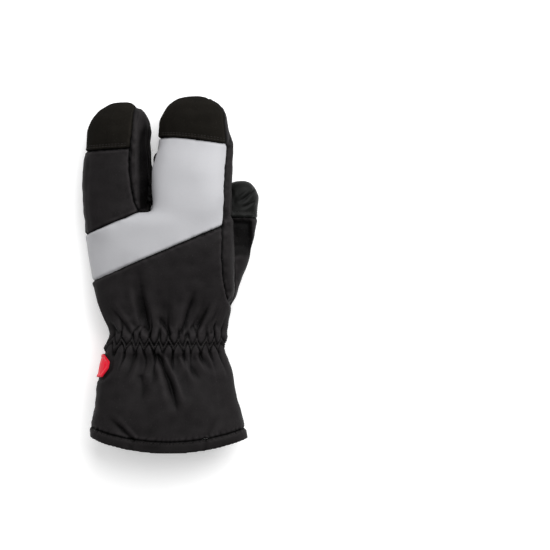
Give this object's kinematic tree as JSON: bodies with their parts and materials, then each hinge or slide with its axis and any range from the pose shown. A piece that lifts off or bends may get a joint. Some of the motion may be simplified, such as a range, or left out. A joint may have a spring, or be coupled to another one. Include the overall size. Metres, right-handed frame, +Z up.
{
  "type": "lobster claw mitt",
  "caption": "Padded left-hand lobster claw mitt with a thumb, finger pods split down the middle, a gathered wrist and a flared cuff with a strap.",
  "frame": {"origin": "under the middle of the mitt's bounding box, on the surface that it lies on", "axes": "+Y from the hem to the fingertips, +Z up through the back of the hand, +X towards the thumb"},
  "size_m": [0.1408, 0.2818, 0.051],
  "materials": {
    "softshell": "black softshell, smooth fine knit with a soft sheen",
    "palm_twill": "charcoal twill with a fine diagonal rib",
    "suede": "black brushed suede",
    "grey_film": "light grey reflective coated cloth",
    "cap_cloth": "matt black microfibre",
    "hem_tape": "black binding tape",
    "strap_cloth": "charcoal coated cloth with a stitched border",
    "label_rubber": "plain red soft rubber"
  },
  "bodies": {
    "root": {"palm_panel": "palm_twill", "palm_patch_upper": "suede", "palm_patch_lower": "suede", "reflective_panel": "grey_film", "back_panel_outer": "softshell", "back_panel_lower": "softshell", "fingertip_cap_outer": "cap_cloth", "fingertip_cap_inner": "cap_cloth", "slit_wall_outer": "softshell", "slit_wall_inner": "softshell", "side_panel": "softshell", "thumb_outer_panel": "softshell", "thumb_inner_panel": "palm_twill", "thumb_cap": "cap_cloth", "wrist_band_back": "softshell", "wrist_band_palm": "softshell", "cuff_back": "softshell", "cuff_palm": "softshell", "hem_binding": "hem_tape", "closure_strap": "strap_cloth", "side_label": "label_rubber"}
  },
  "joints": []
}
